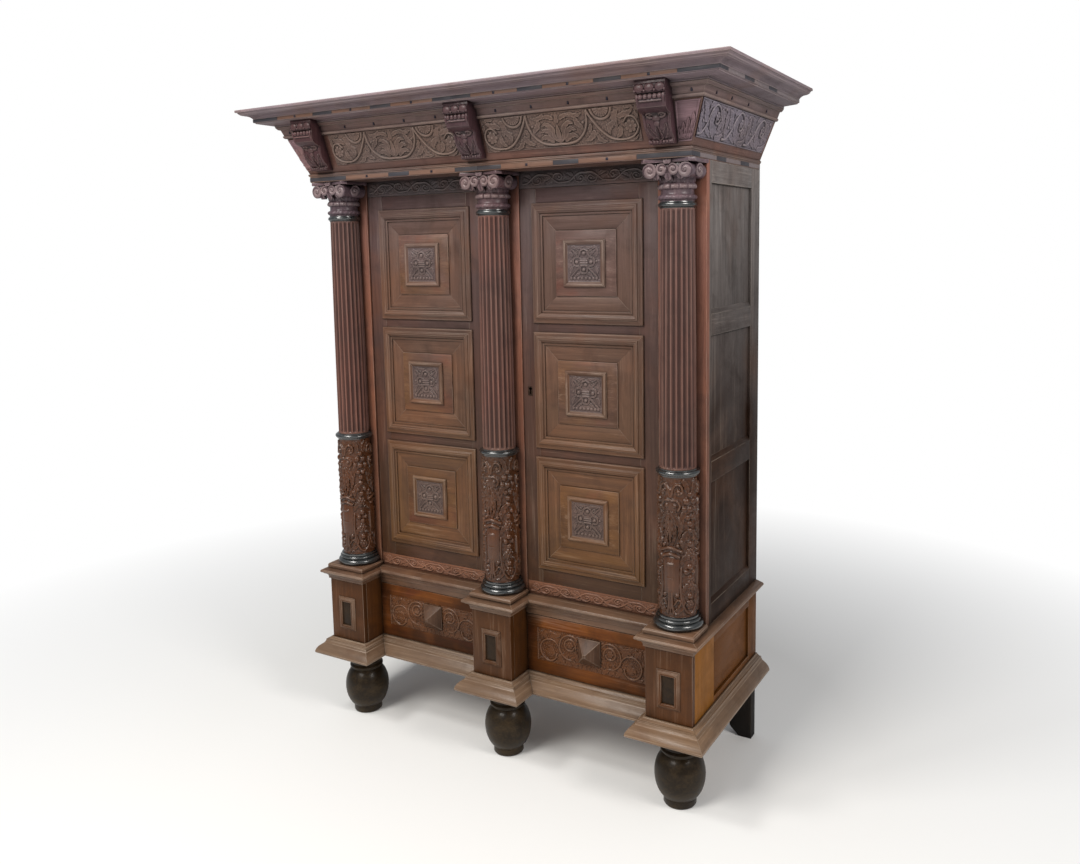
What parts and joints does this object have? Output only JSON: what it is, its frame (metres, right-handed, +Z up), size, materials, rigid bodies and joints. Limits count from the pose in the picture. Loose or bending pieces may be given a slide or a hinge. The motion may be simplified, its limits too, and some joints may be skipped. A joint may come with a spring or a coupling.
{
  "type": "kas cupboard",
  "caption": "Oak kas cupboard with panelled doors between engaged columns, drawers in the base, ball feet and a leaning carved frieze under a wide crown moulding.",
  "frame": {"origin": "on the floor, under the middle of the whole cupboard's bounding box", "axes": "+X to the right as you face the doors, +Y to the back, +Z up; the doors face -Y"},
  "size_m": [1.76, 0.761, 2.2],
  "materials": {
    "cornice_oak": "waxed grey-brown oak with dark inlay",
    "plain_oak": "plain unwaxed oak boards",
    "oak": "waxed brown oak",
    "carved_oak": "dark waxed carved oak",
    "column_oak": "waxed reddish oak",
    "ebonised": "ebonised wood, polished",
    "iron": "dark wrought iron",
    "drawer_oak": "waxed orange-brown oak",
    "foot_black": "dark stained and waxed turned wood",
    "dark_plank": "dark rough plank"
  },
  "bodies": {
    "cabinet": {"architrave": "cornice_oak", "back_boards": "plain_oak", "base_floor": "oak", "base_side_left": "oak", "base_side_right": "oak", "base_top": "oak", "brackets": "carved_oak", "case_ceiling": "plain_oak", "case_floor": "plain_oak", "case_side_left": "oak", "case_side_right": "oak", "column_left_capital": "column_oak", "column_left_drum": "column_oak", "column_left_ebony": "ebonised", "column_left_shaft": "column_oak", "column_right_capital": "column_oak", "column_right_drum": "column_oak", "column_right_ebony": "ebonised", "column_right_shaft": "column_oak", "cornice_top": "plain_oak", "crown_moulding": "cornice_oak", "drawer_divider": "plain_oak", "drawer_runners": "plain_oak", "ebony_tablets": "ebonised", "foot_front_left": "foot_black", "foot_front_middle": "foot_black", "foot_front_right": "foot_black", "foot_rear_left": "dark_plank", "foot_rear_right": "dark_plank", "frieze_boards": "cornice_oak", "frieze_panels": "carved_oak", "front_stile_left": "oak", "front_stile_right": "oak", "pedestal_left": "oak", "pedestal_middle": "oak", "pedestal_right": "oak", "rail_lower": "carved_oak", "rail_upper": "carved_oak", "shelves": "plain_oak"},
    "door_right": {"column_middle_capital": "column_oak", "column_middle_drum": "column_oak", "column_middle_ebony": "ebonised", "column_middle_shaft": "column_oak", "door_right_frame": "oak", "door_right_mouldings": "oak", "door_right_panels": "oak", "door_right_pivots": "iron", "lock_case": "iron"},
    "door_left": {"door_left_frame": "oak", "door_left_ironwork": "iron", "door_left_mouldings": "oak", "door_left_panels": "oak"},
    "lock_bolt": {"lock_bolt": "iron"},
    "door_bolt": {"door_left_bolt": "iron"},
    "drawer_left": {"drawer_left_box": "plain_oak", "drawer_left_front": "drawer_oak", "drawer_left_pull": "drawer_oak"},
    "drawer_right": {"drawer_right_box": "plain_oak", "drawer_right_front": "drawer_oak", "drawer_right_pull": "drawer_oak"}
  },
  "joints": [
    {"name": "door_right_hinge", "type": "hinge", "parent": "cabinet", "child": "door_right", "pos_m": [0.5445, -0.0845, 1.26], "axis": [0, 0, 1], "range_deg": [0, 90]},
    {"name": "door_left_hinge", "type": "hinge", "parent": "cabinet", "child": "door_left", "pos_m": [-0.5445, -0.0845, 1.26], "axis": [0, 0, -1], "range_deg": [0, 90]},
    {"name": "lock_bolt_slide", "type": "slide", "parent": "door_right", "child": "lock_bolt", "axis": [-1, 0, 0], "range_m": [0, 0.018]},
    {"name": "door_bolt_slide", "type": "slide", "parent": "door_left", "child": "door_bolt", "axis": [0, 0, 1], "range_m": [0, 0.015]},
    {"name": "drawer_left_slide", "type": "slide", "parent": "cabinet", "child": "drawer_left", "axis": [0, -1, 0], "range_m": [0, 0.3]},
    {"name": "drawer_right_slide", "type": "slide", "parent": "cabinet", "child": "drawer_right", "axis": [0, -1, 0], "range_m": [0, 0.3]}
  ]
}
